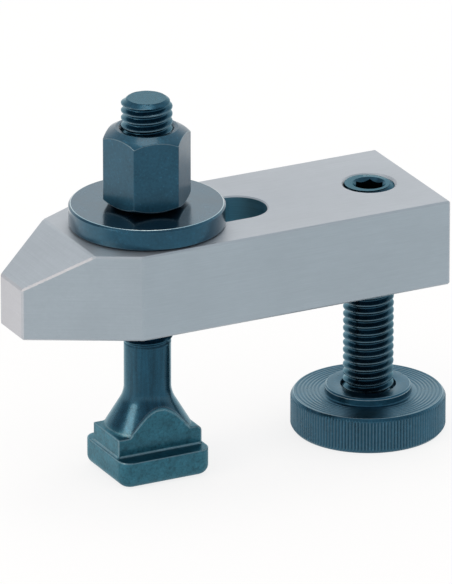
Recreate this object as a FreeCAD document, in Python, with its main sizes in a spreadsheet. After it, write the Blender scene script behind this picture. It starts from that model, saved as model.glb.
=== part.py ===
import FreeCAD, Part
import math
import os
import Sketcher

# Tapered-nose machine clamp: a slotted steel bar held down by a T-slot bolt, a
# flat washer and a ball-seat hexagon nut, and carried at its heel by a
# support screw with a round foot.
#
# Frame in millimetres: the origin is where the bolt's axis meets the table,
# +X runs along the bar towards its heel, +Z is up.

doc = FreeCAD.newDocument("tapered_clamp")

SIZES = {
    # clamp bar
    "bar_width": 36.4,
    "bar_thickness": 20.0,
    "bar_edge": 0.4,
    "nose_width": 11.2,
    "nose_tip": 12.0,  # height of the blunt tip
    "nose_slope": 14.2,  # run of the slope on top
    "nose_taper": 23.8,  # run of the tapers at the sides
    "bolt_reach": 33.65,  # nose tip to the bolt's axis
    "support_reach": 55.55,  # bolt's axis to the support screw's axis
    "heel": 11.15,  # support screw's axis to the end of the bar
    "slot_play": 1.15,  # slot wider than the bolt, each side
    "slot_ahead": 10.15,  # bolt's axis to the closed front end of the slot
    "slot_behind": 29.15,  # bolt's axis to the rear end of the slot
    "slot_edge": 0.3,
    # thread of bolt, nut, bar and support screw
    "thread_dia": 11.45,
    "thread_fit": 0.05,  # running clearance all round
    "thread_mouth": 0.5,  # countersink of a tapped hole
    # T-slot bolt
    "head_length": 22.2,  # along the bar
    "head_width": 20.8,
    "head_height": 6.3,
    "head_round": 3.0,  # upright corners and lower edges alike
    "neck_width": 12.8,
    "neck_length": 20.8,
    "neck_rise": 4.3,  # straight part of the neck over the head
    "cone_rise": 7.8,  # from the straight part up to the shank
    "cone_blend": 1.0,
    "shank_dia": 10.6,
    "shank_rise": 12.0,  # plain shank over the cone, up to the thread
    "bolt_proud": 6.85,  # thread that stands out of the nut
    "bolt_point": 1.2,
    # washer
    "washer_dia": 35.0,
    "washer_play": 0.75,  # washer's bore wider than the thread, all round
    "washer_thickness": 5.0,
    "washer_edge": 0.7,
    "washer_mouth": 0.3,
    # ball-seat nut
    "nut_flats": 17.5,
    "nut_height": 18.0,
    "nut_ball": 17.0,  # radius of the ball seat
    "nut_bearing": 0.5,  # width of the ring that bears on the washer
    "nut_crown": 0.8,  # flat round top, inside the flats all round
    "nut_slope": 30.0,  # the chamfer's angle from level
    "nut_angle": -12.4,  # how the nut happens to stand
    # support screw
    "screw_length": 54.6,
    "screw_point": 1.2,
    "socket_flats": 6.0,
    "socket_depth": 6.5,
    "socket_mouth": 8.0,
    # round foot
    "foot_dia": 35.1,
    "foot_thickness": 8.4,
    "foot_edge": 0.7,
    "foot_floor": 4.0,  # metal left under the screw's end
    "foot_relief": 0.5,  # wider mouth of the foot's hole, all round
    "foot_mouth": 1.6,  # depth of that mouth
    "collar_dia": 19.7,
    "collar_height": 1.9,
    "collar_edge": 0.4,
}

sheet = doc.addObject("Spreadsheet::Sheet", "Sizes")
for row, (alias, number) in enumerate(SIZES.items(), start=1):
    sheet.set(f"A{row}", alias)
    sheet.set(f"B{row}", str(number))
    sheet.setAlias(f"B{row}", alias)
doc.recompute()


class Size:
    """A size with its present value and the sheet expression that drives it."""

    def __init__(self, value, text=None):
        self.value = float(value)
        self.text = text or f"{self.value!r}"

    def _join(self, other, sign, value):
        other = other if isinstance(other, Size) else Size(other)
        return Size(value(self.value, other.value), f"({self.text} {sign} {other.text})")

    def __add__(self, other):
        return self._join(other, "+", lambda a, b: a + b)

    def __sub__(self, other):
        return self._join(other, "-", lambda a, b: a - b)

    def __mul__(self, other):
        return self._join(other, "*", lambda a, b: a * b)

    def __truediv__(self, other):
        return self._join(other, "/", lambda a, b: a / b)

    def __neg__(self):
        return Size(-self.value, f"(0 - {self.text})")

    def slope(self):
        """Rise over run of this angle in degrees."""
        return Size(math.tan(math.radians(self.value)), f"tan({self.text} * 1 deg)")


class Sheet:
    """The sheet's sizes by name, such as S.bar_width."""

    def __getattr__(self, alias):
        return Size(SIZES[alias], f"Sizes.{alias}")


S = Sheet()
ZERO = Size(0, "0")

# Sizes that follow from others.
thread_radius = S.thread_dia / 2
tapped_radius = thread_radius + S.thread_fit
slot_radius = thread_radius + S.slot_play
washer_radius = thread_radius + S.washer_play
support_from_nose = S.bolt_reach + S.support_reach
bar_length = support_from_nose + S.heel
bar_rise = S.foot_floor + S.screw_length - S.bar_thickness
washer_seat = bar_rise + S.bar_thickness
nut_seat = washer_seat + S.washer_thickness
bolt_length = nut_seat + S.nut_height + S.bolt_proud


def new_body(name, x=ZERO, z=ZERO):
    """A body whose own origin stands at x, z of the clamp's frame."""
    body = doc.addObject("PartDesign::Body", name)
    body.Label = name
    body.setExpression("Placement.Base.x", x.text)
    body.setExpression("Placement.Base.z", z.text)
    return body


def new_sketch(body, name, role, lift=None):
    """A sketch on one of the body's origin planes, or lifted off it along its normal."""
    sketch = body.newObject("Sketcher::SketchObject", name)
    plane = next(f for f in body.Origin.OriginFeatures if f.Role == role)
    sketch.AttachmentSupport = [(plane, "")]
    sketch.MapMode = "FlatFace"
    if lift is not None:
        sketch.setExpression("AttachmentOffset.Base.z", lift.text)
    return sketch


def bind(sketch, size, kind, *where):
    """Add a driving dimension and tie it to the sheet."""
    name = f"d{sketch.addConstraint(Sketcher.Constraint(kind, *where, size.value))}"
    sketch.renameConstraint(int(name[1:]), name)
    sketch.setExpression(f"Constraints.{name}", size.text)


def pin_point(sketch, edge, end, x, y):
    """Place one end of a sketch edge at x, y from the sketch's origin."""
    for size, kind, axis in ((x, "DistanceX", -2), (y, "DistanceY", -1)):
        if size is None:
            continue
        if size.value == 0:
            sketch.addConstraint(Sketcher.Constraint("PointOnObject", edge, end, axis))
        elif size.value > 0:
            bind(sketch, size, kind, -1, 1, edge, end)
        else:
            bind(sketch, -size, kind, edge, end, -1, 1)


def polygon(sketch, points):
    """A closed outline through the points, each pinned by its own two sizes."""
    first = sketch.GeometryCount
    spots = [FreeCAD.Vector(x.value, y.value, 0) for x, y in points]
    count = len(points)
    for i in range(count):
        sketch.addGeometry(Part.LineSegment(spots[i], spots[(i + 1) % count]), False)
    for i in range(count):
        follows = first + (i + 1) % count
        sketch.addConstraint(Sketcher.Constraint("Coincident", first + i, 2, follows, 1))
    for i, (x, y) in enumerate(points):
        pin_point(sketch, first + i, 1, x, y)


def rectangle(sketch, x0, x1, y0, y1):
    polygon(sketch, [(x0, y0), (x1, y0), (x1, y1), (x0, y1)])


def hexagon(sketch, flats):
    corner = flats / math.sqrt(3)
    angles = [math.radians(60 * k) for k in range(6)]
    polygon(
        sketch,
        [
            (corner * math.cos(a), corner * math.sin(a) if k % 3 else ZERO)
            for k, a in enumerate(angles)
        ],
    )


def finish(body, feature):
    """Make a feature the body's result and see that it really added or removed metal."""
    before = feature.BaseFeature.Shape.Volume if feature.BaseFeature else 0.0
    body.Tip = feature
    doc.recompute()
    changed = feature.Shape.Volume - before
    cuts = feature.TypeId in ("PartDesign::Pocket", "PartDesign::Groove")
    if (changed > -1e-6) if cuts else abs(changed) < 1e-6:
        raise RuntimeError(f"{feature.Name} changed nothing")
    return feature


def pad(body, name, sketch, length):
    feature = body.newObject("PartDesign::Pad", name)
    feature.Profile = sketch
    feature.setExpression("Length", length.text)
    return finish(body, feature)


def pocket(body, name, sketch, length=None, both=False):
    """Cut along the sketch's normal, or through everything on both sides of it."""
    feature = body.newObject("PartDesign::Pocket", name)
    feature.Profile = sketch
    feature.Reversed = not both
    if both:
        feature.SideType = "Symmetric"
    if length is None:
        feature.Type = "ThroughAll"
    else:
        feature.setExpression("Length", length.text)
    return finish(body, feature)


def turned(body, name, points, groove=False):
    """Turn an outline given as radius and height about the body's own Z axis."""
    sketch = new_sketch(body, f"{name}_profile", "XZ_Plane")
    polygon(sketch, points)
    kind = "Groove" if groove else "Revolution"
    feature = body.newObject(f"PartDesign::{kind}", name)
    feature.Profile = sketch
    feature.ReferenceAxis = (sketch, ["V_Axis"])
    feature.Angle = 360
    return finish(body, feature)


def dress(body, name, kind, size, choose):
    """Chamfer or fillet every edge of the body that choose accepts."""
    base = body.Tip
    names = [f"Edge{i}" for i, edge in enumerate(base.Shape.Edges, start=1) if choose(edge)]
    feature = body.newObject(f"PartDesign::{kind}", name)
    feature.Base = (base, names)
    feature.setExpression("Size" if kind == "Chamfer" else "Radius", size.text)
    return finish(body, feature)


def level_at(edge, height):
    box = edge.BoundBox
    return abs(box.ZMin - height) < 1e-4 and abs(box.ZMax - height) < 1e-4


# Clamp bar, from its nose tip and its underside.
def build_bar():
    bar = new_body("clamp_bar", -S.bolt_reach, bar_rise)
    half_nose, half_width = S.nose_width / 2, S.bar_width / 2
    plan = new_sketch(bar, "bar_plan", "XY_Plane")
    side = [(ZERO, half_nose), (S.nose_taper, half_width), (bar_length, half_width)]
    polygon(plan, side + [(x, -y) for x, y in reversed(side)])
    pad(bar, "bar_blank", plan, S.bar_thickness)

    ramp = new_sketch(bar, "nose_ramp", "XZ_Plane")
    polygon(
        ramp,
        [(ZERO, S.nose_tip), (S.nose_slope, S.bar_thickness), (ZERO, S.bar_thickness)],
    )
    pocket(bar, "nose_top", ramp, both=True)
    dress(bar, "bar_edges", "Chamfer", S.bar_edge, lambda edge: True)

    # The slot runs along the middle and is rounded at both ends.
    slot = new_sketch(bar, "slot_plan", "XY_Plane")
    front, rear = S.bolt_reach - S.slot_ahead, S.bolt_reach + S.slot_behind
    ends = (front + slot_radius, rear - slot_radius)
    up = FreeCAD.Vector(0, 0, 1)
    for centre, start in zip(ends, (90, 270)):
        circle = Part.Circle(FreeCAD.Vector(centre.value, 0, 0), up, slot_radius.value)
        arc = Part.ArcOfCircle(circle, math.radians(start), math.radians(start + 180))
        slot.addGeometry(arc, False)
    for y in (-slot_radius.value, slot_radius.value):
        left = FreeCAD.Vector(ends[0].value, y, 0)
        right = FreeCAD.Vector(ends[1].value, y, 0)
        slot.addGeometry(Part.LineSegment(left, right), False)
    slot.addConstraint(Sketcher.Constraint("Tangent", 0, 2, 2, 1))
    slot.addConstraint(Sketcher.Constraint("Tangent", 2, 2, 1, 1))
    slot.addConstraint(Sketcher.Constraint("Tangent", 1, 2, 3, 2))
    slot.addConstraint(Sketcher.Constraint("Tangent", 3, 1, 0, 1))
    for arc, centre in enumerate(ends):
        pin_point(slot, arc, 3, centre, ZERO)
    bind(slot, slot_radius, "Radius", 0)
    pocket(bar, "slot", slot)

    def rims_slot(edge):
        box = edge.BoundBox
        inside = box.XMin > front.value - 0.01 and box.XMax < rear.value + 0.01
        inside = inside and max(-box.YMin, box.YMax) < slot_radius.value + 0.01
        return inside and any(level_at(edge, z) for z in (0, S.bar_thickness.value))

    dress(bar, "slot_edges", "Chamfer", S.slot_edge, rims_slot)

    # Tapped hole for the support screw, countersunk at both faces.
    tapped = new_sketch(bar, "support_hole_plan", "XY_Plane")
    centre = FreeCAD.Vector(support_from_nose.value, 0, 0)
    tapped.addGeometry(Part.Circle(centre, up, tapped_radius.value), False)
    pin_point(tapped, 0, 3, support_from_nose, ZERO)
    bind(tapped, tapped_radius, "Radius", 0)
    pocket(bar, "support_hole", tapped)

    def rims_hole(edge):
        box = edge.BoundBox
        near = abs(box.Center.x - support_from_nose.value) < 0.01
        near = near and abs(box.XLength - 2 * tapped_radius.value) < 0.01
        return near and abs(box.ZLength) < 1e-4

    dress(bar, "support_mouths", "Chamfer", S.thread_mouth, rims_hole)


# T-slot bolt, from the underside of its square head.
def build_bolt():
    bolt = new_body("t_slot_bolt")
    neck_half, shank = S.neck_length / 2, S.shank_dia / 2
    ledge = S.head_height + S.neck_rise
    cone_top = ledge + S.cone_rise
    thread_start = cone_top + S.shank_rise
    turned(
        bolt,
        "shaft",
        [
            (ZERO, S.head_height),
            (neck_half, S.head_height),
            (neck_half, ledge),
            (shank, cone_top),
            (shank, thread_start),
            (thread_radius, thread_start + thread_radius - shank),
            (thread_radius, bolt_length - S.bolt_point),
            (thread_radius - S.bolt_point, bolt_length),
            (ZERO, bolt_length),
        ],
    )

    # Two flats make the neck fit its slot and leave an arched hump on each side.
    flats = new_sketch(bolt, "neck_flats_plan", "XY_Plane", S.head_height)
    inner, outer, reach = S.neck_width / 2, S.neck_length, S.neck_length
    rectangle(flats, -reach, reach, inner, outer)
    rectangle(flats, -reach, reach, -outer, -inner)
    pocket(bolt, "neck_flats", flats, S.neck_rise + S.cone_rise)
    root = new_sketch(bolt, "neck_root_plan", "XY_Plane", S.head_height)
    rectangle(root, -neck_half, neck_half, -inner, inner)
    pad(bolt, "neck_root", root, S.neck_rise)

    head = new_sketch(bolt, "head_plan", "XY_Plane")
    half_length, half_width = S.head_length / 2, S.head_width / 2
    rectangle(head, -half_length, half_length, -half_width, half_width)
    pad(bolt, "head", head, S.head_height)

    def round_on_head(edge):
        box = edge.BoundBox
        at_corner = abs(box.Center.x) > half_length.value - 1e-3
        at_corner = at_corner and abs(box.Center.y) > half_width.value - 1e-3
        return level_at(edge, 0) or at_corner and abs(box.ZLength - S.head_height.value) < 1e-3

    dress(bolt, "head_rounding", "Fillet", S.head_round, round_on_head)

    def cone_rim(edge):
        wide = abs(edge.BoundBox.XLength - S.shank_dia.value) < 1e-3
        return wide and level_at(edge, cone_top.value)

    dress(bolt, "cone_foot", "Fillet", S.cone_blend, cone_rim)


# Washer, from its underside.
def build_washer():
    washer = new_body("washer", z=washer_seat)
    inner, outer = washer_radius, S.washer_dia / 2
    thick, edge, mouth = S.washer_thickness, S.washer_edge, S.washer_mouth
    turned(
        washer,
        "washer_ring",
        [
            (inner + mouth, ZERO),
            (outer - edge, ZERO),
            (outer, edge),
            (outer, thick - edge),
            (outer - edge, thick),
            (inner + mouth, thick),
            (inner, thick - mouth),
            (inner, mouth),
        ],
    )


# Nut, from the narrow ring on which its ball seat bears.
def build_nut():
    nut = new_body("hex_nut", z=nut_seat)
    nut.setExpression("Placement.Rotation.Yaw", S.nut_angle.text)
    plan = new_sketch(nut, "nut_plan", "XY_Plane")
    hexagon(plan, S.nut_flats)
    pad(nut, "nut_blank", plan, S.nut_height)

    # Everything under the ball is turned away.
    clear = S.nut_flats * 0.65
    seat = new_sketch(nut, "ball_seat_profile", "XZ_Plane")
    ring_size = washer_radius + S.washer_mouth + S.nut_bearing
    ball, ring = S.nut_ball.value, ring_size.value
    middle = math.sqrt(ball**2 - ring**2)
    rim = middle - math.sqrt(ball**2 - clear.value**2)
    circle = Part.Circle(FreeCAD.Vector(0, middle, 0), FreeCAD.Vector(0, 0, 1), ball)
    start = math.atan2(-middle, ring)
    end = math.atan2(rim - middle, clear.value)
    corners = [(clear.value, rim), (clear.value, -ring), (ring, -ring), (ring, 0)]
    spots = [FreeCAD.Vector(x, y, 0) for x, y in corners]
    seat.addGeometry(Part.ArcOfCircle(circle, start, end), False)
    for a, b in zip(spots, spots[1:]):
        seat.addGeometry(Part.LineSegment(a, b), False)
    seat.addConstraint(Sketcher.Constraint("Coincident", 0, 2, 1, 1))
    seat.addConstraint(Sketcher.Constraint("Coincident", 1, 2, 2, 1))
    seat.addConstraint(Sketcher.Constraint("Coincident", 2, 2, 3, 1))
    seat.addConstraint(Sketcher.Constraint("Coincident", 3, 2, 0, 1))
    seat.addConstraint(Sketcher.Constraint("Vertical", 1))
    seat.addConstraint(Sketcher.Constraint("Vertical", 3))
    seat.addConstraint(Sketcher.Constraint("PointOnObject", 0, 3, -2))
    pin_point(seat, 3, 2, ring_size, ZERO)
    pin_point(seat, 1, 2, clear, -ring_size)
    pin_point(seat, 3, 1, None, -ring_size)
    bind(seat, S.nut_ball, "Radius", 0)
    groove = nut.newObject("PartDesign::Groove", "ball_seat")
    groove.Profile = seat
    groove.ReferenceAxis = (seat, ["V_Axis"])
    groove.Angle = 360
    finish(nut, groove)

    crown = S.nut_flats / 2 - S.nut_crown
    drop = (clear - crown) * S.nut_slope.slope()
    turned(
        nut,
        "crown",
        [(crown, S.nut_height), (clear, S.nut_height - drop), (clear, S.nut_height)],
        groove=True,
    )
    mouth = S.thread_mouth
    turned(
        nut,
        "nut_thread",
        [
            (ZERO, ZERO),
            (tapped_radius + mouth, ZERO),
            (tapped_radius, mouth),
            (tapped_radius, S.nut_height - mouth),
            (tapped_radius + mouth, S.nut_height),
            (ZERO, S.nut_height),
        ],
        groove=True,
    )


# Support screw, from its lower end on the floor of the foot's hole.
def build_screw():
    screw = new_body("support_screw", S.support_reach, S.foot_floor)
    point, length = S.screw_point, S.screw_length
    turned(
        screw,
        "screw",
        [
            (ZERO, ZERO),
            (thread_radius - point, ZERO),
            (thread_radius, point),
            (thread_radius, length - S.thread_mouth),
            (thread_radius - S.thread_mouth, length),
            (ZERO, length),
        ],
    )
    key = new_sketch(screw, "socket_plan", "XY_Plane", length - S.socket_depth)
    hexagon(key, S.socket_flats)
    pocket(screw, "socket", key, S.socket_depth)
    mouth = S.socket_mouth / 2
    inner = S.socket_flats / 2
    turned(
        screw,
        "socket_countersink",
        [(inner, length), (inner, length - (mouth - inner)), (mouth, length)],
        groove=True,
    )


# Round foot, from its underside.
def build_foot():
    foot = new_body("knurled_foot", S.support_reach)
    outer, collar = S.foot_dia / 2, S.collar_dia / 2
    top = S.foot_thickness + S.collar_height
    wide = tapped_radius + S.foot_relief
    turned(
        foot,
        "foot_disc",
        [
            (ZERO, ZERO),
            (outer - S.foot_edge, ZERO),
            (outer, S.foot_edge),
            (outer, S.foot_thickness - S.foot_edge),
            (outer - S.foot_edge, S.foot_thickness),
            (collar, S.foot_thickness),
            (collar, top - S.collar_edge),
            (collar - S.collar_edge, top),
            (wide, top),
            (wide, top - S.foot_mouth),
            (tapped_radius, top - S.foot_mouth),
            (tapped_radius, S.foot_floor),
            (ZERO, S.foot_floor),
        ],
    )


def main():
    for build in (build_bar, build_bolt, build_washer, build_nut, build_screw, build_foot):
        build()
    doc.recompute()
    failed = [o.Name for o in doc.Objects if {"Invalid", "Error"} & set(o.State)]
    if failed:
        raise RuntimeError(f"failed objects: {failed}")
    bodies = [o for o in doc.Objects if o.TypeId == "PartDesign::Body"]
    for body in bodies:
        shape = body.Shape
        if shape.isNull() or not shape.isValid() or len(shape.Solids) != 1:
            raise RuntimeError(f"{body.Label} is not one sound solid")
    os.makedirs("parts", exist_ok=True)
    for body in bodies:
        body.Shape.exportStep(f"parts/{body.Label}.step")
        box = body.Shape.BoundBox
        print(
            f"{body.Label}: volume {body.Shape.Volume:.1f},"
            f" x {box.XMin:.2f} {box.XMax:.2f}, z {box.ZMin:.2f} {box.ZMax:.2f}"
        )


main()
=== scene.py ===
import math

import bmesh
import bpy
import numpy as np
from bpy.props import FloatProperty, FloatVectorProperty, IntProperty, PointerProperty
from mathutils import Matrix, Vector


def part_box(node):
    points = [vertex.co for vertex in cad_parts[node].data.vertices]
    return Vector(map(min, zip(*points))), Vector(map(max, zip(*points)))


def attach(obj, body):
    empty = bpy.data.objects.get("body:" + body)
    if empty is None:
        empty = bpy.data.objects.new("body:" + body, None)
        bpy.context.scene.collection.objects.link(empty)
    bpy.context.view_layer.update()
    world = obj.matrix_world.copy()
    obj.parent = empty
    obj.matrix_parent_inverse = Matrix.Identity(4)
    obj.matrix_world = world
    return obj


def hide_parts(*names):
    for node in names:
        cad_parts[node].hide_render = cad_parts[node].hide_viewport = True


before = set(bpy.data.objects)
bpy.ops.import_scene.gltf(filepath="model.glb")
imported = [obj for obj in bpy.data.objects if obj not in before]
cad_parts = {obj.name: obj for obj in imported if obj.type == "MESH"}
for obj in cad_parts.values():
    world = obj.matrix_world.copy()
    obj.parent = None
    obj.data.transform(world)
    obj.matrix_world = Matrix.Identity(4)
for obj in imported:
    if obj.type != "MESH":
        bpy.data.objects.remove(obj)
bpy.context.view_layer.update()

bl_info = {
    "name": "Tapered clamp",
    "version": (1, 0, 0),
    "blender": (4, 5, 0),
    "location": "3D View > Sidebar > Clamp",
    "description": "Dresses a tapered-nose machine clamp with its threads, knurl and finishes",
    "category": "Object",
}

MM = 0.001
WEAR_AND_HIGHLIGHT = "wear_and_highlight"  # how far each point of a mesh gets the light edge colour, partly scuffed oxide and partly painted highlight, from 0 to 1
PROFILE_FLANK = math.sqrt(3)  # fall of a 60 degree thread flank over its run along the axis


def node_box(node):
    """Lowest and highest corner of a CAD node in millimetres."""
    low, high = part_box(node)
    return np.array(low) / MM, np.array(high) / MM


BAR_LOW, BAR_HIGH = node_box("clamp_bar")
BOLT_LOW, BOLT_HIGH = node_box("t_slot_bolt")
WASHER_LOW, WASHER_HIGH = node_box("washer")
NUT_LOW, NUT_HIGH = node_box("hex_nut")
SCREW_LOW, SCREW_HIGH = node_box("support_screw")
FOOT_LOW, FOOT_HIGH = node_box("knurled_foot")
SUPPORT_X = (SCREW_LOW[0] + SCREW_HIGH[0]) / 2


# Settings.


class ClampSizes(bpy.types.PropertyGroup):
    """Sizes of the small forms that are not part of the plain solids."""

    pitch: FloatProperty(
        name="Thread pitch", description="Rise of one turn of both threads",
        default=1.75 * MM, min=0.5 * MM, max=3 * MM, unit="LENGTH", precision=5)
    thread_depth: FloatProperty(
        name="Thread depth", description="Depth of both threads, crest to root",
        default=1.04 * MM, min=0.2 * MM, max=2 * MM, unit="LENGTH", precision=5)
    shank_diameter: FloatProperty(
        name="Shank diameter", description="Plain shank of the T-slot bolt",
        default=10.6 * MM, min=8 * MM, max=11.4 * MM, unit="LENGTH", precision=5)
    flats: FloatProperty(
        name="Nut flats", description="Width of the hexagon nut across its flats",
        default=17.5 * MM, min=15 * MM, max=19 * MM, unit="LENGTH", precision=5)
    knurl_teeth: IntProperty(
        name="Knurl teeth", description="Teeth of the straight knurl round the foot",
        default=144, min=60, max=360)
    knurl_depth: FloatProperty(
        name="Knurl depth", description="Depth of the straight knurl on the foot",
        default=0.28 * MM, min=0.0, max=0.5 * MM, unit="LENGTH", precision=5)
    ring_depth: FloatProperty(
        name="Turning depth", description="Depth of the turned rings on top of the foot",
        default=0.11 * MM, min=0.0, max=0.2 * MM, unit="LENGTH", precision=5)


class ClampColours(bpy.types.PropertyGroup):
    """Colours of the finishes."""

    steel: FloatVectorProperty(
        name="Ground steel", description="Colour of the bar's ground faces",
        subtype="COLOR", size=3, default=(0.52, 0.525, 0.55), min=0, max=1)
    slot_wall: FloatVectorProperty(
        name="Milled slot", description="Colour of the walls inside the bar's slot and hole",
        subtype="COLOR", size=3, default=(0.20, 0.42, 0.52), min=0, max=1)
    oxide: FloatVectorProperty(
        name="Black oxide", description="Colour of the blackened machined steel",
        subtype="COLOR", size=3, default=(0.019, 0.084, 0.132), min=0, max=1)
    forged: FloatVectorProperty(
        name="Forged oxide", description="Colour of the blackened forged steel",
        subtype="COLOR", size=3, default=(0.032, 0.132, 0.178), min=0, max=1)
    # Light edge colour on edges, crests and ridges, partly scuffed oxide and partly painted highlight
    worn_and_highlight: FloatVectorProperty(
        name="Worn edge", description="Colour of the edges where the oxide has rubbed thin",
        subtype="COLOR", size=3, default=(0.70, 0.84, 0.88), min=0, max=1)
    floor: FloatVectorProperty(
        name="Floor", description="Colour of the table under the clamp",
        subtype="COLOR", size=3, default=(0.9, 0.9, 0.9), min=0, max=1)
    front: FloatVectorProperty(
        name="Table in front", description="Colour in which the polished faces mirror the table before them",
        subtype="COLOR", size=3, default=(0.55, 0.67, 0.72), min=0, max=1)
    overhead: FloatVectorProperty(
        name="Overhead", description="Colour in which the polished faces mirror the soft screen above",
        subtype="COLOR", size=3, default=(0.60, 0.73, 0.79), min=0, max=1)
    opposite: FloatVectorProperty(
        name="Viewer's side",
        description="Colour in which the polished faces mirror the room before the clamp",
        subtype="COLOR", size=3, default=(0.30, 0.37, 0.42), min=0, max=1)


class ClampLight(bpy.types.PropertyGroup):
    """Strength of the studio's lamps and surroundings."""

    room: FloatProperty(
        name="Room light", description="Strength of the surroundings as light on the clamp",
        default=0.95, min=0, max=3)
    back: FloatProperty(
        name="Back lamp", description="Power of the wide warm lamp behind the clamp",
        default=0.4, min=0, max=200, unit="POWER")
    over: FloatProperty(
        name="Overhead lamp", description="Power of the soft lamp above the clamp",
        default=2.2, min=0, max=200, unit="POWER")
    side: FloatProperty(
        name="Side lamp", description="Power of the small lamp at the clamp's left",
        default=6.0, min=0, max=200, unit="POWER")


# Shader maths.


class Wire:
    """A socket of numbers; an expression on it adds the Math nodes."""

    def __init__(self, tree, socket):
        self.tree, self.socket = tree, socket

    def math(self, operation, *terms):
        node = self.tree.nodes.new("ShaderNodeMath")
        node.operation = operation
        for entry, term in zip(node.inputs, terms):
            connect(self.tree, entry, term)
        return Wire(self.tree, node.outputs[0])

    def __add__(self, other):
        return self.math("ADD", self, other)

    __radd__ = __add__

    def __sub__(self, other):
        return self.math("SUBTRACT", self, other)

    def __rsub__(self, other):
        return self.math("SUBTRACT", other, self)

    def __mul__(self, other):
        return self.math("MULTIPLY", self, other)

    __rmul__ = __mul__

    def __pow__(self, other):
        return self.math("POWER", self, other)

    def __gt__(self, other):
        return self.math("GREATER_THAN", self, other)

    def __lt__(self, other):
        return self.math("LESS_THAN", self, other)

    def __abs__(self):
        return self.math("ABSOLUTE", self)

    def held(self):
        """The same number kept between 0 and 1."""
        node = self.tree.nodes.new("ShaderNodeClamp")
        connect(self.tree, node.inputs[0], self)
        return Wire(self.tree, node.outputs[0])


def connect(tree, entry, value):
    """Link a wire to a node's socket, or set the socket's own value."""
    if isinstance(value, Wire):
        tree.links.new(value.socket, entry)
    elif isinstance(value, bpy.types.NodeSocket):
        tree.links.new(value, entry)
    elif hasattr(value, "__len__") and entry.type == "RGBA" and len(value) == 3:
        entry.default_value = (*value, 1)
    else:
        entry.default_value = value


class Nodes:
    """The nodes of one material or world."""

    def __init__(self, owner):
        owner.use_nodes = True
        self.tree = owner.node_tree
        self.tree.nodes.clear()

    def node(self, kind, settings=None, values=None, output=0):
        """Add a node of any type; its settings are set first, then its sockets."""
        made = self.tree.nodes.new(kind)
        for name, value in (settings or {}).items():
            setattr(made, name, value)
        for key, value in (values or {}).items():
            connect(self.tree, made.inputs[key], value)
        if output is None:
            return made
        return Wire(self.tree, made.outputs[output])

    def mix(self, factor, first, second):
        """Blend of two colours or of two vectors."""
        return self.node("ShaderNodeMix", {"data_type": "RGBA"}, {0: factor, 6: first, 7: second}, 2)

    def noise(self, place, scale, detail=2.0, roughness=0.5):
        return self.node(
            "ShaderNodeTexNoise", None,
            {"Vector": place, "Scale": scale, "Detail": detail, "Roughness": roughness})

    def spread(self, noise, gain):
        """Noise drawn out about its middle value, between 0 and 1."""
        return ((noise - 0.5) * gain + 0.5).held()

    def scaled(self, place, factors):
        return self.node("ShaderNodeVectorMath", {"operation": "MULTIPLY"}, {0: place, 1: factors})

    def bump(self, height, distance, strength):
        return self.node(
            "ShaderNodeBump", None, {"Height": height, "Distance": distance, "Strength": strength})

    def surface(self, values):
        """The Principled shader and the output of a material."""
        shader = self.node("ShaderNodeBsdfPrincipled", None, values)
        self.node("ShaderNodeOutputMaterial", None, {"Surface": shader}, None)


def shade(colour, factor):
    return tuple(min(1.0, part * factor) for part in colour)


class Finish(Nodes):
    """A material whose nodes start from places in millimetres."""

    def __init__(self, name):
        self.material = bpy.data.materials.new(name)
        super().__init__(self.material)
        source = self.node("ShaderNodeTexCoord", None, None, None)
        self.normal = source.outputs["Normal"]
        self.place = self.scaled(source.outputs["Object"], (1 / MM,) * 3)
        apart = self.node("ShaderNodeSeparateXYZ", None, {0: self.place}, None)
        self.x, self.y, self.z = (Wire(self.tree, part) for part in apart.outputs)
        self.wear_and_highlight = self.node("ShaderNodeAttribute", {"attribute_name": WEAR_AND_HIGHLIGHT}, None, "Fac")

    def radius(self, centre_x):
        """Distance from an upright axis at y 0."""
        x = self.x - centre_x
        return (x * x + self.y * self.y) ** 0.5

    def flat_to(self, axis):
        """How far the surface faces along one axis, from 0 to 1."""
        apart = self.node("ShaderNodeSeparateXYZ", None, {0: self.normal}, None)
        return abs(Wire(self.tree, apart.outputs[axis]))


# Finishes.


WALLS_HALF = 7.4
WALLS_FROM_NOSE = 6
WALLS_FROM_HEEL = 3


def ground_steel(colours):
    """Bright ground bar with fine marks along each face, and darker milled walls inside."""
    finish = Finish("ground_steel")
    steel, wall = colours.steel, colours.slot_wall
    across = finish.scaled(finish.place, (0.05, 5.0, 5.0))
    upright = finish.scaled(finish.place, (0.05, 0.05, 6.0))
    facing = finish.flat_to("X")
    slanted = facing > 0.25
    along = finish.mix(slanted, across, upright)
    grain = finish.noise(along, 1.0, 4.0, 0.62)
    fine = finish.noise(finish.scaled(along, (1, 3, 3)), 1.0, 2.0, 0.6)
    cloud = finish.noise(finish.place, 0.055, 3.0, 0.55)
    fleck = finish.noise(finish.scaled(finish.place, (0.25, 1.6, 1.6)), 1.0, 3.0, 0.7)

    # The upright walls of the slot and of the tapped hole lie well inside the bar.
    inner = (abs(finish.y) < WALLS_HALF) * (finish.flat_to("Z") < 0.6)
    inside = inner * (finish.x > BAR_LOW[0] + WALLS_FROM_NOSE) * (finish.x < BAR_HIGH[0] - WALLS_FROM_HEEL)

    streak = finish.spread(cloud * 0.4 + grain * 0.6, 2.0)
    tone = finish.mix(streak, shade(steel, 0.97), shade(steel, 1.21))
    tone = finish.mix(finish.spread(fleck, 2.0) * 0.3, tone, shade(steel, 0.9))
    dark = finish.mix(grain, shade(wall, 0.7), shade(wall, 1.3))
    height = grain * 0.6 + fine * 0.4
    finish.surface({
        "Base Color": finish.mix(inside, tone, dark),
        "Metallic": 1.0,
        "Roughness": 0.44 + grain * 0.14,
        "Normal": finish.bump(height, 0.02 * MM, 0.6),
    })
    return finish.material


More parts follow.
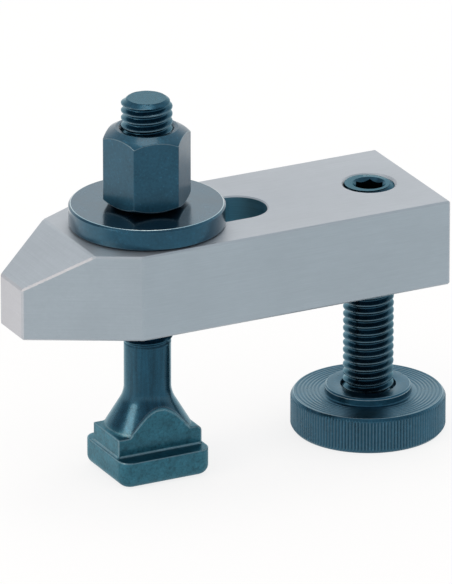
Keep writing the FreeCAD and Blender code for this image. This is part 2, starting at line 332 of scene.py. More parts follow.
def oiled(finish, colours, colour, roughness, height, distance, strength, rubbed_and_highlight, film=0.6, sheen=(1, 1, 1)):
    """Blackened steel under its film of oil, with a light colour on its edges that is partly scuffed oxide
    and partly painted highlight.

    The bump's distance is in metres; sheen tints the metal's edge reflection."""
    patchy = finish.noise(finish.place, 1.3, 3.0, 0.6)
    # Painted highlight together with scuffing: the light edge colour, laid on patchily where the edge weight
    # is high.
    worn_and_highlight = (finish.wear_and_highlight * (0.35 + 1.3 * patchy)).held() * rubbed_and_highlight
    finish.surface({
        "Base Color": finish.mix(worn_and_highlight, colour, colours.worn_and_highlight),
        "Metallic": 1.0,
        "Roughness": roughness,
        "Specular Tint": (*sheen, 1),
        "Coat Weight": film,
        "Coat Roughness": 0.18,
        "Coat IOR": 1.5,
        "Normal": finish.bump(height, distance, strength),
    })
    return finish.material


def turned_oxide(name, base, colours, centre_x, pitch, cut, polish, rubbed_and_highlight, film=0.6, sheen=(1, 1, 1)):
    """Blackened steel with rings left by turning about an upright axis."""
    finish = Finish(name)
    radius = finish.radius(centre_x)
    level = finish.flat_to("Z")
    travel = finish.node("ShaderNodeCombineXYZ", None, {0: radius * level, 1: finish.z * (1 - level), 2: 0.0})
    rings = finish.noise(travel, 1 / pitch, 3.0, 0.6)
    cloud = finish.spread(finish.noise(finish.place, 0.13, 3.0, 0.6), 2.6)
    speck = finish.noise(finish.place, 1.6, 4.0, 0.65)
    tone = finish.mix(cloud * 0.5 + finish.spread(speck, 2.5) * 0.5, shade(base, 0.68), shade(base, 1.38))
    tone = finish.mix((speck > 0.66) * 0.35, tone, shade(base, 2.2))
    return oiled(
        finish, colours, tone, polish + 0.10 * cloud + 0.08 * speck,
        rings * 0.7 + speck * 0.3, cut * MM, 0.8, rubbed_and_highlight, film, sheen)


def milled_oxide(name, colours):
    """Blackened steel with the faint marks of milled flats."""
    finish = Finish(name)
    base = colours.oxide
    grain = finish.noise(finish.scaled(finish.place, (1.2, 1.2, 0.18)), 2.0, 3.0, 0.6)
    cloud = finish.spread(finish.noise(finish.place, 0.2, 3.0, 0.6), 2.6)
    speck = finish.noise(finish.place, 1.7, 4.0, 0.65)
    tone = finish.mix(cloud * 0.4 + finish.spread(speck, 2.6) * 0.6, shade(base, 0.72), shade(base, 1.36))
    tone = finish.mix((speck > 0.65) * 0.4, tone, shade(base, 2.2))
    return oiled(
        finish, colours, tone, 0.32 + 0.10 * cloud + 0.10 * speck,
        grain * 0.4 + speck * 0.6, 0.03 * MM, 0.7, 0.6)


def forged_oxide(colours):
    """Blackened forging with a dull scaled skin, and cleaner steel on the shank and thread."""
    finish = Finish("forged_oxide")
    base = colours.forged
    machined = ((finish.z - LEDGE - 0.3) * 0.8).held() * (abs(finish.y) < NECK_HALF[1] - 0.1)
    lump = finish.spread(finish.noise(finish.place, 0.4, 4.0, 0.6), 2.2)
    pit = finish.noise(finish.place, 1.5, 4.0, 0.7)
    fine = finish.noise(finish.place, 5.0, 2.0, 0.6)
    tone = finish.mix(lump * 0.4 + finish.spread(pit, 2.6) * 0.6, shade(base, 0.45), shade(base, 1.65))
    tone = finish.mix((pit > 0.63) * 0.35, tone, shade(base, 0.4))
    drawn = finish.spread(finish.noise(finish.scaled(finish.place, (1.1, 1.1, 0.09)), 1.0, 3.0, 0.6), 2.4)
    clean = finish.mix(
        drawn * 0.65 + finish.spread(pit, 2.0) * 0.35, shade(colours.oxide, 0.5), shade(colours.oxide, 1.2))
    height = (lump * 0.25 + pit * 0.55 + fine * 0.2) * (1 - 0.8 * machined)
    # The light edge colour, scuffed oxide and painted highlight, is weaker on the machined shank.
    return oiled(
        finish, colours, finish.mix(machined, tone, clean),
        (0.36 + 0.12 * pit) * (1 - machined) + (0.22 + 0.10 * fine) * machined,
        height, 0.11 * MM, 0.8, 0.28 - 0.14 * machined, 0.4, (0.60, 0.85, 0.93))


def thread_oxide(name, colours):
    """Blackened rolled thread."""
    finish = Finish(name)
    base = colours.oxide
    cloud = finish.spread(finish.noise(finish.place, 0.3, 3.0, 0.6), 2.4)
    speck = finish.noise(finish.place, 1.6, 3.0, 0.65)
    tone = finish.mix(cloud, shade(base, 0.4), shade(base, 0.95))
    tone = finish.mix((speck > 0.66) * 0.35, tone, shade(base, 1.6))
    return oiled(
        finish, colours, tone, 0.20 + 0.12 * cloud, speck, 0.02 * MM, 0.6, 0.13, 0.5, (0.45, 0.78, 0.90))


# Meshes.


def rounded(points, radii, rubbed_and_highlight, steps=4):
    """An outline of (radius, height) rows with every corner rounded by its own radius.

    Each entry of a point is a number or one number per column. The second result
    says how far each row gets the light edge colour, scuffed oxide and painted highlight;
    rubbed_and_highlight holds a weight per corner."""
    columns = max(np.size(part) for point in points for part in point)
    corners = np.array([[np.broadcast_to(part, columns) for part in point] for point in points], float)
    corners = np.moveaxis(corners, 1, 2)
    rows, wear_and_highlight = [], []
    count = len(corners)
    for i, radius in enumerate(radii):
        here = corners[i]
        if not radius:
            rows.append(here)
            wear_and_highlight.append(0.0)
            continue
        to_last, to_next = corners[i - 1] - here, corners[(i + 1) % count] - here
        last_length = np.linalg.norm(to_last, axis=1, keepdims=True)
        next_length = np.linalg.norm(to_next, axis=1, keepdims=True)
        to_last, to_next = to_last / last_length, to_next / next_length
        half = np.arccos(np.clip((to_last * to_next).sum(1, keepdims=True), -1, 1)) / 2
        reach = np.minimum(radius / np.tan(half), 0.49 * np.minimum(last_length, next_length))
        size = reach * np.tan(half)
        middle = to_last + to_next
        middle = here + middle / np.linalg.norm(middle, axis=1, keepdims=True) * size / np.sin(half)
        start, end = here + to_last * reach - middle, here + to_next * reach - middle
        sweep = math.pi - 2 * half
        for step in range(steps + 1):
            share = step / steps
            arm = (np.sin((1 - share) * sweep) * start + np.sin(share * sweep) * end) / np.sin(sweep)
            rows.append(middle + arm)
            wear_and_highlight.append(min(1.0, 1.6 * math.sin(math.pi * share)) * rubbed_and_highlight.get(i, 0))
    return np.array(rows), np.array(wear_and_highlight)


def revolved(outline, wear_and_highlight, angles, centre=(0.0, 0.0), ring=True):
    """Points, faces and edge weights (light edge colour: scuffed oxide and painted highlight) of an outline
    carried round an upright axis.

    A ring's outline closes on itself; any other starts and ends on a flat face."""
    count, columns = outline.shape[0], len(angles)
    outline = np.broadcast_to(outline, (count, columns, 2))
    radius, height = outline[..., 0], outline[..., 1]
    x, y = centre[0] + radius * np.cos(angles), centre[1] + radius * np.sin(angles)
    points = np.stack([x, y, height], -1).reshape(-1, 3)
    i, j = np.meshgrid(np.arange(count if ring else count - 1), np.arange(columns), indexing="ij")
    after, beside = (i + 1) % count, (j + 1) % columns
    here, there = i * columns, after * columns
    faces = np.stack([here + j, here + beside, there + beside, there + j], -1).reshape(-1, 4).tolist()
    if not ring:
        faces.append(list(range(columns))[::-1])
        faces.append([(count - 1) * columns + j for j in range(columns)])
    wear_and_highlight = np.broadcast_to(np.reshape(wear_and_highlight, (count, -1)), (count, columns)).ravel()
    return points, faces, wear_and_highlight


def even_angles(columns, start=0.0):
    return start + np.arange(columns) * (2 * math.pi / columns)


def hexagon_polar(flats, corner, per_flat, per_corner, turn):
    """Angles, and radii at them, of a hexagon whose corners are rounded off in plan."""
    half = flats / 2
    centre = (half - corner) / math.cos(math.pi / 6)
    limit = math.atan2((half - corner) * math.tan(math.pi / 6), half)
    on_flat = np.linspace(-limit, limit, per_flat + 1)
    on_corner = np.linspace(limit, math.pi / 3 - limit, per_corner + 1)[1:-1]
    off = on_corner - math.pi / 6
    round_radius = centre * np.cos(off) + np.sqrt(corner**2 - (centre * np.sin(off)) ** 2)
    angles = np.concatenate([on_flat, on_corner])
    radii = np.concatenate([half / np.cos(on_flat), round_radius])
    turns = np.arange(6) * math.pi / 3 + math.pi / 6 + turn
    return (turns[:, None] + angles).ravel(), np.tile(radii, 6)


def new_mesh(points, faces, wear_and_highlight):
    """A bmesh of points in millimetres."""
    mesh = bpy.data.meshes.new("part")
    mesh.from_pydata(np.asarray(points).tolist(), [], faces)
    mesh.attributes.new(WEAR_AND_HIGHLIGHT, "FLOAT", "POINT").data.foreach_set("value", np.asarray(wear_and_highlight, np.float32))
    made = bmesh.new()
    made.from_mesh(mesh)
    bpy.data.meshes.remove(mesh)
    return made


def everything(made):
    return made.verts[:] + made.edges[:] + made.faces[:]


def cut_level(made, height, keep_below):
    """Cut a mesh off at a height and leave it open there."""
    bmesh.ops.bisect_plane(
        made, geom=everything(made), dist=1e-5, plane_co=(0, 0, height), plane_no=(0, 0, 1),
        clear_outer=keep_below, clear_inner=not keep_below)


def open_edges(made, height, gap=0.02):
    return [
        edge for edge in made.edges
        if edge.is_boundary and all(abs(vert.co.z - height) < gap for vert in edge.verts)
    ]


def close_level(made, height):
    """Fill the open end of a mesh at a height with one flat face."""
    bmesh.ops.holes_fill(made, edges=open_edges(made, height), sides=0)


def thread_radius_at(share, crest, depth, pitch):
    """Radius of a thread at a share of one pitch away from the middle of its crest."""
    away = np.abs(share - np.round(share))
    line = crest - np.maximum(away - 1 / 16, 0) * pitch * PROFILE_FLANK
    over = line - (crest - depth)
    return np.minimum(crest - depth + 0.5 * (over + np.sqrt(over**2 + 0.02)), crest)


def thread_mesh(crest, depth, pitch, low, high, phase, shape, worn_and_highlit_from, columns=96):
    """Skin of a right-hand thread from low to high, open at both ends.

    Its rows follow the helix. shape(radius, height) trims the ends. Crests above worn_and_highlit_from get
    the light edge colour, partly scuffed oxide and partly painted highlight."""
    shares = np.array([0, .0625, .16, .26, .36, .41, .455, .5, .545, .59, .64, .74, .84, .9375])
    rows_a_turn = len(shares)
    turns = math.ceil((high - low) / pitch) + 3
    start = low - 2 * pitch
    levels = (np.arange(turns)[:, None] + shares).ravel()
    angles = even_angles(columns)
    climb = angles / (2 * math.pi)
    height = start + (levels[:, None] + climb) * pitch
    radius = thread_radius_at(np.repeat(levels[:, None], columns, 1), crest, depth, pitch)
    radius = shape(radius, height)
    # Crest lines weighted for the light edge colour: scuffing plus painted highlight.
    wear_and_highlight = (np.clip((radius - crest) * 4 + 1, 0, 1) * (height > worn_and_highlit_from)).ravel()
    turned = angles + phase
    points = np.stack([radius * np.cos(turned), radius * np.sin(turned), height], -1).reshape(-1, 3)
    rows = len(levels)
    i, j = np.meshgrid(np.arange(rows - 1), np.arange(columns), indexing="ij")
    wraps = j == columns - 1
    beside = np.where(wraps, (i + rows_a_turn) * columns, i * columns + j + 1)
    over = np.where(wraps, (i + 1 + rows_a_turn) * columns, (i + 1) * columns + j + 1)
    faces = np.stack([i * columns + j, beside, over, (i + 1) * columns + j], -1).reshape(-1, 4)
    faces = faces[(faces < rows * columns).all(1)]
    made = new_mesh(points, faces.tolist(), wear_and_highlight)
    cut_level(made, low, keep_below=False)
    cut_level(made, high, keep_below=True)
    return made


def moved(made, offset):
    bmesh.ops.translate(made, verts=made.verts[:], vec=Vector(offset))
    return made


def joined(first, second):
    """Add the second mesh to the first."""
    mesh = bpy.data.meshes.new("part")
    second.to_mesh(mesh)
    second.free()
    first.from_mesh(mesh)
    bpy.data.meshes.remove(mesh)
    return first


def add_piece(name, made, material, body, node, sharp=32.0, smooth_below=None):
    """Turn a bmesh in millimetres into a piece that stands for a CAD node."""
    bmesh.ops.recalc_face_normals(made, faces=made.faces[:])
    for face in made.faces:
        face.smooth = True
    limit = math.radians(sharp)
    for edge in made.edges:
        soft = smooth_below is not None and edge.verts[0].co.z < smooth_below
        if not soft and len(edge.link_faces) == 2 and edge.calc_face_angle() > limit:
            edge.smooth = False
    bmesh.ops.scale(made, verts=made.verts[:], vec=(MM,) * 3)
    mesh = bpy.data.meshes.new(name)
    made.to_mesh(mesh)
    made.free()
    mesh.materials.append(material)
    piece = bpy.data.objects.new(name, mesh)
    bpy.context.scene.collection.objects.link(piece)
    weighted = piece.modifiers.new("even_shading", "WEIGHTED_NORMAL")
    weighted.keep_sharp = True
    weighted.weight = 50
    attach(piece, body)
    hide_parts(node)
    return piece


# The forged t-head.


HEAD_HALF = (BOLT_HIGH[0], BOLT_HIGH[1])
HEAD_HEIGHT = 6.3
HEAD_ROUND = 3.0
HEAD_SOLE = 2.2
NECK_HALF = (10.4, 6.4)
NECK_BOTTOM = 4.0
LEDGE = 10.6
CONE_FOOT = 9.9
CONE_TOP = 18.4


def round_max(a, b, radius):
    """Two fields met in a common solid, with the edge between them rounded."""
    inner = np.minimum(-radius, np.maximum(a, b))
    return inner + np.hypot(np.maximum(a + radius, 0), np.maximum(b + radius, 0))


def round_min(a, b, radius):
    """Two fields joined, with the corner between them filled."""
    return -round_max(-a, -b, radius)


def rounded_plan(x, y, half_x, half_y, corner):
    """Distance from a rectangle with rounded corners in plan."""
    qx, qy = np.abs(x) - half_x + corner, np.abs(y) - half_y + corner
    return np.hypot(np.maximum(qx, 0), np.maximum(qy, 0)) + np.minimum(np.maximum(qx, qy), 0) - corner


def forging(place, shank, top):
    """Distance field of the bolt's head, neck, humps and shank."""
    x, y, z = place.T
    radius = np.hypot(x, y)
    head = round_max(rounded_plan(x, y, *HEAD_HALF, HEAD_ROUND), -z, HEAD_SOLE)
    head = round_max(head, z - HEAD_HEIGHT, 0.25)
    neck = round_max(np.abs(x) - NECK_HALF[0], z - LEDGE, np.where(x > 0, 1.2, 0.25))
    run, rise = CONE_FOOT - shank, CONE_TOP - LEDGE
    slant = math.hypot(run, rise)
    cone = ((radius - CONE_FOOT) * rise + (z - LEDGE) * run) / slant
    cone = round_max(cone, radius - CONE_FOOT, 0.4)
    stem = round_min(cone, radius - shank, 0.9)
    upper = round_max(round_min(neck, stem, 0.35), np.abs(y) - NECK_HALF[1], 0.28)
    upper = np.maximum(upper, NECK_BOTTOM - z)
    return np.maximum(round_min(upper, head, 0.45), z - top)


def slope_of(field, points, step=0.01):
    """Gradient of a field at points."""
    parts = []
    for axis in range(3):
        shift = np.zeros(3)
        shift[axis] = step
        parts.append((field(points + shift) - field(points - shift)) / (2 * step))
    return np.stack(parts, -1)


def bend_of(field, points, step=0.12):
    """Curvature of a field's surface at points, over 0 on outward edges."""
    total = -6 * field(points)
    for axis in range(3):
        shift = np.zeros(3)
        shift[axis] = step
        total += field(points + shift) + field(points - shift)
    return total / step**2


def field_mesh(field, low, high, cell, hollows_to, passes=6):
    """Closed quad mesh of a distance field's surface, evened out and drawn onto it.

    Its outward edges get the light edge colour of scuffed oxide and painted highlight, and so do the hollow
    ones up to a height."""
    axes = [np.arange(start, end + cell, cell) for start, end in zip(low, high)]
    grid = np.stack(np.meshgrid(*axes, indexing="ij"), -1)
    solid = (field(grid.reshape(-1, 3)) < 0).reshape(grid.shape[:3])
    near, far = slice(None, -1), slice(1, None)
    count = sum(
        solid[a, b, c].astype(int) for a in (near, far) for b in (near, far) for c in (near, far))
    crossed = (count > 0) & (count < 8)
    index = np.full(crossed.shape, -1)
    index[crossed] = np.arange(crossed.sum())
    points = grid[:-1, :-1, :-1][crossed] + cell / 2
    faces = []
    for axis in range(3):
        order = (axis, (axis + 1) % 3, (axis + 2) % 3)
        state, cells = np.moveaxis(solid, order, (0, 1, 2)), np.moveaxis(index, order, (0, 1, 2))
        change = state[:-1, 1:-1, 1:-1] != state[1:, 1:-1, 1:-1]
        quads = np.stack(
            [cells[:, :-1, :-1], cells[:, 1:, :-1], cells[:, 1:, 1:], cells[:, :-1, 1:]], -1)
        faces.append(quads[change])
    faces = np.concatenate(faces)
    edges = np.concatenate([faces[:, [0, 1]], faces[:, [1, 2]], faces[:, [2, 3]], faces[:, [3, 0]]])
    edges = np.concatenate([edges, edges[:, ::-1]])
    ties = np.bincount(edges[:, 0], minlength=len(points))[:, None]
    for turn in range(passes):
        if turn:
            total = np.zeros_like(points)
            np.add.at(total, edges[:, 0], points[edges[:, 1]])
            points = points * 0.4 + total / ties * 0.6
        for _ in range(3):
            value = field(points)[:, None]
            slope = slope_of(field, points)
            steepness = np.maximum((slope**2).sum(1, keepdims=True), 0.25)
            points = points - np.clip(value, -cell, cell) * slope / steepness
    bend = bend_of(field, points)
    # Edge weights from curvature: painted highlight with scuffing on sharp edges, and on hollows below
    # hollows_to.
    sharp, hollow = np.clip((bend - 1) / 1.5, 0, 1), np.clip((-bend - 1) / 1.5, 0, 1)
    return new_mesh(points, faces.tolist(), np.maximum(sharp, hollow * (points[:, 2] < hollows_to)))



# Operators.


class CLAMP_OT_bar(bpy.types.Operator):
    """Give the ground bar its finish"""

    bl_idname = "clamp.bar"
    bl_label = "Ground bar"

    def execute(self, context):
        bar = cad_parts["clamp_bar"]
        bar.data.materials.clear()
        bar.data.materials.append(ground_steel(context.scene.clamp_colours))
        return {"FINISHED"}


class CLAMP_OT_bolt(bpy.types.Operator):
    """Forge the T-slot bolt and roll its thread"""

    bl_idname = "clamp.bolt"
    bl_label = "T-slot bolt"

    def execute(self, context):
        sizes = context.scene.clamp_sizes
        shank = sizes.shank_diameter / MM / 2
        crest = (SCREW_HIGH[0] - SCREW_LOW[0]) / 2
        top, meet, thread_start, run_out, phase = BOLT_HIGH[2], 24.0, 30.4, 1.4, 2.6
        point, fall = 1.4, math.tan(math.radians(33))
        cell, margin, spare, seam = 0.25, 0.6, 1.0, 0.3

        made = field_mesh(
            lambda place: forging(place, shank, meet + spare),
            (-HEAD_HALF[0] - margin, -HEAD_HALF[1] - margin, -margin),
            (HEAD_HALF[0] + margin, HEAD_HALF[1] + margin, meet + spare + margin), cell, LEDGE - 2)
        cut_level(made, meet, keep_below=True)

        def ends(radius, height):
            grown = np.clip((height - thread_start) / run_out, 0, 1)
            radius = shank + (radius - shank) * grown
            return np.minimum(radius, crest - point + np.maximum(top - height, 0) / fall)

        thread = thread_mesh(
            crest, sizes.thread_depth / MM, sizes.pitch / MM, meet + seam, top, phase, ends, BAR_LOW[2])
        made = joined(made, thread)
        bmesh.ops.bridge_loops(made, edges=open_edges(made, meet) + open_edges(made, meet + seam))
        close_level(made, top)
        add_piece(
            "bolt_forging", made, forged_oxide(context.scene.clamp_colours), "bolt",
            "t_slot_bolt", smooth_below=meet + seam / 2)
        return {"FINISHED"}


class CLAMP_OT_washer(bpy.types.Operator):
    """Turn the flat washer"""

    bl_idname = "clamp.washer"
    bl_label = "Washer"

    def execute(self, context):
        low, high, outer = WASHER_LOW[2], WASHER_HIGH[2], WASHER_HIGH[0]
        bore, mouth, edge = 6.475, 0.3, 0.45
        # The corner weights give the light edge colour, partly scuffed oxide and partly painted highlight.
        outline = rounded(
            [(bore + mouth, low), (outer - edge, low), (outer, low + edge), (outer, high - edge),
             (outer - edge, high), (bore + mouth, high), (bore, high - mouth), (bore, low + mouth)],
            [0.1, 0.2, 0.2, 0.12, 0.3, 0.12, 0.12, 0.1], {2: 0.15, 4: 1.0, 6: 0.5})
        made = new_mesh(*revolved(*outline, even_angles(240)))
        colours = context.scene.clamp_colours
        finish = turned_oxide("turned_oxide_washer", colours.oxide, colours, 0.0, 0.35, 0.012, 0.15, 0.7)
        add_piece("flat_washer", made, finish, "washer", "washer")
        return {"FINISHED"}


class CLAMP_OT_nut(bpy.types.Operator):
    """Mill the ball-seat nut"""

    bl_idname = "clamp.nut"
    bl_label = "Ball-seat nut"

    def execute(self, context):
        low, high = NUT_LOW[2], NUT_HIGH[2]
        flats = context.scene.clamp_sizes.flats / MM
        turn, fall, sag = math.radians(-12.4), math.tan(math.radians(30)), 0.2
        angles, wall = hexagon_polar(flats, 0.55, 22, 7, turn)
        ball, ring, crown, bore, mouth = 17.0, 7.275, 7.0, 5.775, 0.5
        middle = math.sqrt(ball**2 - ring**2)

        def seat(radius):
            return low + middle - np.sqrt(ball**2 - radius**2)

        def shoulder(share):
            """A point of the crown's cone, which rounds over towards the corners."""
            run = (wall - crown) * share
            return crown + run, high - run * fall - sag * np.maximum(run - 1.8, 0) ** 2

        curve = [ring + (wall - ring) * share for share in (0.8, 0.6, 0.4, 0.2)]
        # The corner weights give the light edge colour, partly scuffed oxide and partly painted highlight.
        outline = rounded(
            [(bore, high - mouth), (bore + mouth, high), (crown, high)]
            + [shoulder(share) for share in (0.3, 0.55, 0.7, 0.85, 1.0)]
            + [(wall, seat(wall))]
            + [(radius, seat(radius)) for radius in curve]
            + [(ring, low), (bore + mouth, low), (bore, low + mouth)],
            [0.1, 0.12, 0.2, 0, 0, 0, 0, 0.28, 0.35, 0, 0, 0, 0, 0.1, 0.1, 0.1],
            {2: 0.2, 7: 0.3, 8: 1.0, 13: 0.5})
        made = new_mesh(*revolved(*outline, angles))
        finish = milled_oxide("milled_oxide", context.scene.clamp_colours)
        add_piece("ball_seat_nut", made, finish, "nut", "hex_nut")
        return {"FINISHED"}


class CLAMP_OT_screw(bpy.types.Operator):
    """Roll the support screw's thread and broach its socket"""

    bl_idname = "clamp.screw"
    bl_label = "Support screw"

    def execute(self, context):
        sizes = context.scene.clamp_sizes
        low, top = SCREW_LOW[2], SCREW_HIGH[2]
        crest = (SCREW_HIGH[0] - SCREW_LOW[0]) / 2
        point, rim, mouth, socket, depth, phase = 1.2, 0.2, 3.8, 3.0, 6.5, 1.1

        def ends(radius, height):
            radius = np.minimum(radius, crest - point + np.maximum(height - low, 0))
            return np.minimum(radius, crest - rim + np.maximum(top - height, 0))

        made = thread_mesh(
            crest, sizes.thread_depth / MM, sizes.pitch / MM, low, top, phase, ends, low)
        close_level(made, low)

        angles = even_angles(96)
        key = socket / np.cos((angles % (math.pi / 3)) - math.pi / 6)
        outline = rounded(
            [(mouth, top), (key, top - (mouth - key)), (key, top - depth),
             (socket * 0.5, top - depth - 0.001)],
            [0, 0, 0, 0], {})
        points, faces, wear_and_highlight = revolved(*outline, angles, ring=False)
        made = joined(made, new_mesh(points, faces[:-2] + faces[-1:], wear_and_highlight))
        bmesh.ops.bridge_loops(made, edges=open_edges(made, top))
        moved(made, (SUPPORT_X, 0, 0))
        add_piece(
            "support_thread", made, thread_oxide("thread_oxide", context.scene.clamp_colours),
            "support", "support_screw")
        return {"FINISHED"}


class CLAMP_OT_foot(bpy.types.Operator):
    """Turn the round foot and knurl its rim"""

    bl_idname = "clamp.foot"
    bl_label = "Knurled foot"

    def execute(self, context):
        sizes = context.scene.clamp_sizes
        outer = (FOOT_HIGH[0] - FOOT_LOW[0]) / 2
        top, disc, edge, step_in = FOOT_HIGH[2], 8.4, 0.7, 0.22
        collar, bore, mouth, floor = 9.85, 5.775, 6.275, 4.0
        teeth, depth = sizes.knurl_teeth, sizes.knurl_depth / MM
        angles = even_angles(teeth * 4)
        tooth = np.tile([0.0, 0.0, 1.0, 1.0], teeth)
        rim = outer - depth * (1 - tooth)

        ring, pitch, rings, steps = sizes.ring_depth / MM, 0.83, 7, 6
        waves = [0.5 - 0.5 * math.cos(2 * math.pi * step / steps) for step in range(rings * steps + 1)]
        grooves = [
            (outer - edge - 0.25 - step * pitch / steps, disc - ring * wave)
            for step, wave in enumerate(waves)]
        rows, wear_and_highlight = rounded(
            [(outer - edge - 4, 0.0), (outer - edge, 0.0), (outer - step_in, edge - 0.1),
             (rim, edge + 0.3), (rim, disc - edge - 0.3),
             (outer - step_in, disc - edge + 0.1), (outer - edge, disc)]
            + grooves
            + [(collar, disc), (collar, top - 0.4), (collar - 0.4, top), (mouth, top), (mouth, top - 1.6),
               (bore, top - 1.6), (bore, floor), (1.0, floor)],
            [0, 0.15, 0, 0, 0, 0, 0.25] + [0] * len(grooves) + [0.25, 0.2, 0.2, 0.15, 0, 0.1, 0, 0],
            {6: 0.8, 8 + len(grooves): 1.0, 9 + len(grooves): 0.7}, steps=3)
        # Turned ring crests and knurl ridges get the light edge colour, partly scuffed oxide and partly
        # painted highlight.
        across, level = rows[:, 0, 0], rows[:, 0, 1]
        on_rim = (across > outer - edge) & (level > edge) & (level < disc - edge)
        on_rings = (across > collar + 0.3) & (across < outer - edge - 0.2) & (level > disc - 0.2)
        ring_wear_and_highlight, tooth_wear_and_highlight = 0.16, 0.12
        wear_and_highlight[on_rings] = ring_wear_and_highlight * (1 - np.array(waves))
        wear_and_highlight = np.where(on_rim[:, None], tooth_wear_and_highlight * tooth, wear_and_highlight[:, None])
        made = new_mesh(*revolved(rows, wear_and_highlight, angles, (SUPPORT_X, 0.0), ring=False))
        colours = context.scene.clamp_colours
        finish = turned_oxide(
            "turned_oxide_foot", shade(colours.oxide, 1.1), colours, SUPPORT_X, 0.5, 0.02, 0.22, 0.5,
            0.45, (0.75, 0.90, 0.95))
        add_piece("foot_disc", made, finish, "support", "knurled_foot", sharp=40)
        return {"FINISHED"}


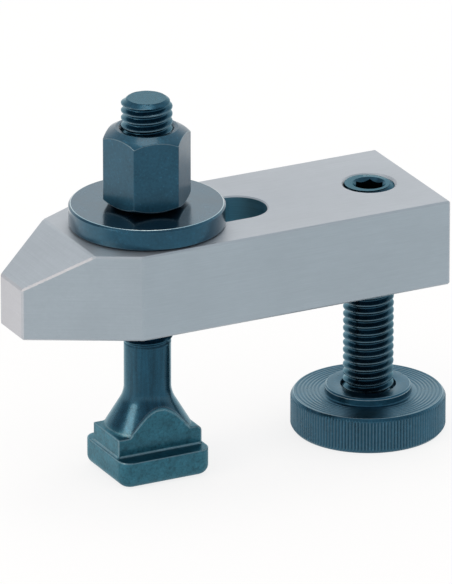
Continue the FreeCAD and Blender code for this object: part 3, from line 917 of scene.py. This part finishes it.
class CLAMP_OT_stage(bpy.types.Operator):
    """Set the pale table, the soft lamps, the surroundings and the camera"""

    bl_idname = "clamp.stage"
    bl_label = "Stage"

    def execute(self, context):
        scene = context.scene
        scene.view_settings.view_transform = "Standard"
        self.add_floor(scene)
        self.light_room(scene)
        light = scene.clamp_light
        self.add_lamp("back_lamp", light.back, (0.8, 1.5, 0.66), 1.3, (1.0, 0.8, 0.68))
        self.add_lamp("over_lamp", light.over, (0.12, 0.24, 1.35), 0.6, (1.0, 0.86, 0.76))
        self.add_lamp("side_lamp", light.side, (-1.5, -0.07, 0.9), 0.7, (1.0, 0.80, 0.66))
        self.add_camera(scene)
        return {"FINISHED"}

    @staticmethod
    def rays(nodes, *names):
        """1 for rays of the named kinds."""
        path = nodes.node("ShaderNodeLightPath", None, None, None)
        total = sum(Wire(nodes.tree, path.outputs[name]) for name in names)
        return total.held()

    @staticmethod
    def parts(nodes, output):
        """The three numbers of a texture coordinate."""
        place = nodes.node("ShaderNodeTexCoord", None, None, None).outputs[output]
        apart = nodes.node("ShaderNodeSeparateXYZ", None, {0: place}, None)
        return [Wire(nodes.tree, part) for part in apart.outputs]

    def add_floor(self, scene):
        """A pale table, white to the eye; mirrors see it grey before the clamp and white behind it."""
        made = bmesh.new()
        bmesh.ops.create_circle(made, cap_ends=True, segments=96, radius=6.0)
        mesh = bpy.data.meshes.new("floor")
        made.to_mesh(mesh)
        made.free()
        floor = bpy.data.objects.new("floor", mesh)
        floor.location.z = -0.00002
        scene.collection.objects.link(floor)
        material = bpy.data.materials.new("pale_floor")
        mesh.materials.append(material)
        nodes = Nodes(material)
        _, y, _ = self.parts(nodes, "Object")
        before = ((0.01 - y) * 20).held()
        mirrored = nodes.mix(before, (1, 1, 1), scene.clamp_colours.front)
        colour = nodes.mix(self.rays(nodes, "Is Glossy Ray"), (1, 1, 1), mirrored)
        table = nodes.mix(self.rays(nodes, "Is Glossy Ray"), scene.clamp_colours.floor, mirrored)
        lit = nodes.node("ShaderNodeBsdfDiffuse", None, {"Color": table})
        glow = nodes.node("ShaderNodeEmission", None, {"Color": colour, "Strength": 1.0})
        mirror_rays = self.rays(nodes, "Is Glossy Ray", "Is Transmission Ray")
        seen = self.rays(nodes, "Is Camera Ray") * 0.8 + mirror_rays * 0.6
        both = nodes.node("ShaderNodeMixShader", None, {0: seen.held(), 1: lit, 2: glow})
        nodes.node("ShaderNodeOutputMaterial", None, {"Surface": both}, None)

    def light_room(self, scene):
        """Even surroundings, white to the eye; mirrors see them shaded overhead and before the clamp."""
        world = bpy.data.worlds.new("studio")
        scene.world = world
        nodes = Nodes(world)
        x, y, z = self.parts(nodes, "Generated")  # from -1 to 1 along each axis
        above = ((z - 0.36) * 5).held()
        across = ((-0.1 - y) * 1.8).held() + ((-0.3 - x) * 4).held() * ((y - 0.1) * 4).held()
        across = across.held() * ((z - 0.05) * 5).held() * ((0.995 - z) * 12).held()
        mirrored = nodes.mix(above, (1, 1, 1), scene.clamp_colours.overhead)
        mirrored = nodes.mix(across, mirrored, scene.clamp_colours.opposite)
        colour = nodes.mix(self.rays(nodes, "Is Glossy Ray"), (1, 1, 1), mirrored)
        room = nodes.node(
            "ShaderNodeBackground", None, {"Color": (1, 1, 1), "Strength": scene.clamp_light.room})
        white = nodes.node("ShaderNodeBackground", None, {"Color": colour, "Strength": 1.0})
        seen = self.rays(nodes, "Is Camera Ray", "Is Glossy Ray", "Is Transmission Ray")
        both = nodes.node("ShaderNodeMixShader", None, {0: seen, 1: room, 2: white})
        nodes.node("ShaderNodeOutputWorld", None, {"Surface": both}, None)

    @staticmethod
    def add_lamp(name, power, place, size, colour):
        light = bpy.data.lights.new(name, "AREA")
        light.energy = power
        light.color = colour
        light.shape = "DISK"
        light.size = size
        lamp = bpy.data.objects.new(name, light)
        lamp.location = place
        middle = Vector((0.015, 0, 0.04))
        lamp.rotation_euler = (middle - Vector(place)).to_track_quat("-Z", "Y").to_euler()
        lamp.visible_camera = False
        bpy.context.scene.collection.objects.link(lamp)

    @staticmethod
    def add_camera(scene):
        data = bpy.data.cameras.new("camera")
        camera = bpy.data.objects.new("camera", data)
        scene.collection.objects.link(camera)
        target = Vector((13.62, -11.94, 44.01)) * MM
        azimuth, elevation, distance = math.radians(-26.765), math.radians(21.623), 2492 * MM
        back = Vector((
            math.sin(azimuth) * math.cos(elevation),
            -math.cos(azimuth) * math.cos(elevation),
            math.sin(elevation)))
        camera.location = target + back * distance
        camera.rotation_euler = (-back).to_track_quat("-Z", "Y").to_euler()
        data.sensor_width = 36.0
        data.lens = 691.5
        data.clip_start, data.clip_end = 0.05, 50.0
        scene.camera = camera


class CLAMP_PT_panel(bpy.types.Panel):
    """Lists the clamp's pieces and settings"""

    bl_idname = "CLAMP_PT_panel"
    bl_label = "Clamp"
    bl_space_type = "VIEW_3D"
    bl_region_type = "UI"
    bl_category = "Clamp"

    def draw(self, context):
        column = self.layout.column()
        for operator in OPERATORS:
            column.operator(operator.bl_idname)
        for group in (context.scene.clamp_sizes, context.scene.clamp_colours, context.scene.clamp_light):
            for name in group.__annotations__:
                column.prop(group, name)


OPERATORS = (
    CLAMP_OT_bar, CLAMP_OT_bolt, CLAMP_OT_washer, CLAMP_OT_nut,
    CLAMP_OT_screw, CLAMP_OT_foot, CLAMP_OT_stage,
)
GROUPS = (("clamp_sizes", ClampSizes), ("clamp_colours", ClampColours), ("clamp_light", ClampLight))


def register():
    for _, group in GROUPS:
        bpy.utils.register_class(group)
    for name, group in GROUPS:
        setattr(bpy.types.Scene, name, PointerProperty(type=group))
    for operator in OPERATORS:
        bpy.utils.register_class(operator)
    bpy.utils.register_class(CLAMP_PT_panel)


def unregister():
    bpy.utils.unregister_class(CLAMP_PT_panel)
    for operator in reversed(OPERATORS):
        bpy.utils.unregister_class(operator)
    for name, group in reversed(GROUPS):
        delattr(bpy.types.Scene, name)
        bpy.utils.unregister_class(group)


def main():
    register()
    for operator in OPERATORS:
        group, name = operator.bl_idname.split(".")
        getattr(getattr(bpy.ops, group), name)()


if __name__ == "__main__":
    main()
